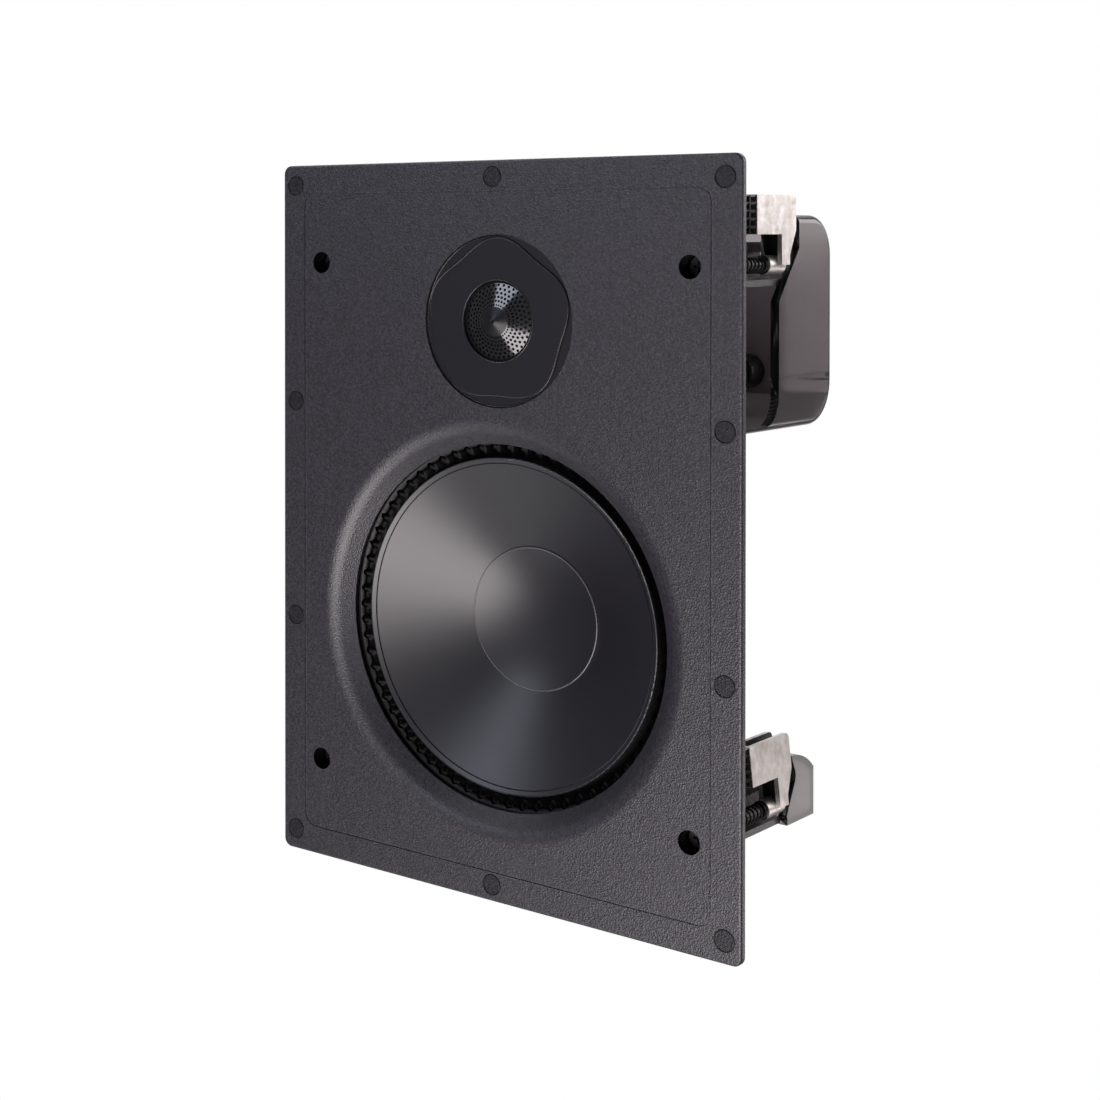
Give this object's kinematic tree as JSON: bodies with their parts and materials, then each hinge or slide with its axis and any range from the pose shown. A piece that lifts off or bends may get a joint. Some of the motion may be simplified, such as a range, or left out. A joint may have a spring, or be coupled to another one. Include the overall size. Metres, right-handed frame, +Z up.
{
  "type": "in-wall loudspeaker",
  "caption": "Rectangular in-wall two-way loudspeaker: dished woofer and tweeter in a charcoal panel, with toothed clamps that swing out behind the wall and a smoked rear cover.",
  "frame": {"origin": "centre of the panel's flange, on its back face, which rests on the wall", "axes": "+Y into the wall, +Z up, +X to the right as seen from the room"},
  "size_m": [0.267, 0.1505, 0.368],
  "materials": {
    "panel_plastic": "fine satin texture",
    "magnet_nickel": "dark plated discs",
    "plate_plastic": "smooth satin",
    "lens_metal": "gloss black",
    "cone_polymer": "satin near-black",
    "rubber": "matt",
    "clamp_casting": "as cast",
    "spring_steel": "black oxide",
    "screw_steel": "zinc plated",
    "smoked_plastic": "smoked, translucent",
    "basket_steel": "black powder coat",
    "cloth": "resin-treated cloth",
    "former_paper": "kraft paper",
    "copper": "enamelled copper winding",
    "plated_iron": "zinc plated",
    "ferrite": "sintered",
    "fibre": "fibre board",
    "silk": "coated silk",
    "can_plastic": "black",
    "board_laminate": "dark laminate",
    "coil_wrap": "black wrap",
    "screw_black": "black oxide",
    "capacitor_film": "yellow film",
    "resistor_ceramic": "cement",
    "terminal_plastic": "black",
    "tab_red": "red",
    "tab_black": "black"
  },
  "bodies": {
    "housing": {"front_baffle": "panel_plastic", "grille_magnets": "magnet_nickel", "tweeter_faceplate": "plate_plastic", "tweeter_lens": "lens_metal", "tweeter_diaphragm": "silk", "tweeter_top_plate": "plated_iron", "tweeter_magnet": "ferrite", "tweeter_yoke": "plated_iron", "tweeter_rear_chamber": "can_plastic", "tweeter_screws": "screw_steel", "woofer_basket": "basket_steel", "woofer_screws": "screw_steel", "woofer_surround": "rubber", "woofer_spider": "cloth", "woofer_top_plate": "plated_iron", "woofer_magnet": "ferrite", "woofer_yoke": "plated_iron", "woofer_terminals": "fibre", "rear_cover": "smoked_plastic", "cover_screws": "screw_steel", "crossover_board": "board_laminate", "board_screws": "screw_steel", "crossover_inductors": "coil_wrap", "crossover_capacitors": "capacitor_film", "crossover_resistors": "resistor_ceramic", "terminal_block": "terminal_plastic", "clamp_spring_1": "spring_steel", "clamp_spring_2": "spring_steel", "clamp_spring_3": "spring_steel", "clamp_spring_4": "spring_steel"},
    "woofer_moving": {"woofer_cone": "cone_polymer", "woofer_dust_cap": "cone_polymer", "woofer_former": "former_paper", "woofer_voice_coil": "copper"},
    "tweeter_moving": {"tweeter_voice_coil": "copper"},
    "tab_positive": {"terminal_tab_positive": "tab_red"},
    "tab_negative": {"terminal_tab_negative": "tab_black"},
    "clamp_1_screw": {"clamp_screw_1": "screw_black"},
    "clamp_1_leg": {"clamp_1": "clamp_casting"},
    "clamp_2_screw": {"clamp_screw_2": "screw_black"},
    "clamp_2_leg": {"clamp_2": "clamp_casting"},
    "clamp_3_screw": {"clamp_screw_3": "screw_black"},
    "clamp_3_leg": {"clamp_3": "clamp_casting"},
    "clamp_4_screw": {"clamp_screw_4": "screw_black"},
    "clamp_4_leg": {"clamp_4": "clamp_casting"}
  },
  "joints": [
    {"name": "woofer_stroke", "type": "slide", "parent": "housing", "child": "woofer_moving", "axis": [0, 1, 0], "range_m": [-0.006, 0.006], "stiffness_N_per_m": 1500, "deforming": ["woofer_surround", "woofer_spider"]},
    {"name": "tweeter_stroke", "type": "slide", "parent": "housing", "child": "tweeter_moving", "axis": [0, 1, 0], "range_m": [-0.0005, 0.0005], "stiffness_N_per_m": 900, "deforming": ["tweeter_diaphragm"]},
    {"name": "tab_positive_press", "type": "slide", "parent": "housing", "child": "tab_positive", "axis": [0, -1, 0], "range_m": [0, 0.0025], "stiffness_N_per_m": 800, "springref_m": -0.001},
    {"name": "tab_negative_press", "type": "slide", "parent": "housing", "child": "tab_negative", "axis": [0, -1, 0], "range_m": [0, 0.0025], "stiffness_N_per_m": 800, "springref_m": -0.001},
    {"name": "clamp_1_swing", "type": "hinge", "parent": "housing", "child": "clamp_1_screw", "pos_m": [0.1075, 0, 0.1322], "axis": [0, 1, 0], "range_deg": [0, 90]},
    {"name": "clamp_1_draw", "type": "slide", "parent": "clamp_1_screw", "child": "clamp_1_leg", "axis": [0, -1, 0], "range_m": [0, 0.038], "deforming": ["clamp_spring_1"]},
    {"name": "clamp_2_swing", "type": "hinge", "parent": "housing", "child": "clamp_2_screw", "pos_m": [0.1075, 0, -0.1322], "axis": [0, 1, 0], "range_deg": [0, 96]},
    {"name": "clamp_2_draw", "type": "slide", "parent": "clamp_2_screw", "child": "clamp_2_leg", "axis": [0, -1, 0], "range_m": [0, 0.038], "deforming": ["clamp_spring_2"]},
    {"name": "clamp_3_swing", "type": "hinge", "parent": "housing", "child": "clamp_3_screw", "pos_m": [-0.1075, 0, 0.1322], "axis": [0, 1, 0], "range_deg": [0, 90]},
    {"name": "clamp_3_draw", "type": "slide", "parent": "clamp_3_screw", "child": "clamp_3_leg", "axis": [0, -1, 0], "range_m": [0, 0.038], "deforming": ["clamp_spring_3"]},
    {"name": "clamp_4_swing", "type": "hinge", "parent": "housing", "child": "clamp_4_screw", "pos_m": [-0.1075, 0, -0.1322], "axis": [0, 1, 0], "range_deg": [0, 90]},
    {"name": "clamp_4_draw", "type": "slide", "parent": "clamp_4_screw", "child": "clamp_4_leg", "axis": [0, -1, 0], "range_m": [0, 0.038], "deforming": ["clamp_spring_4"]}
  ]
}
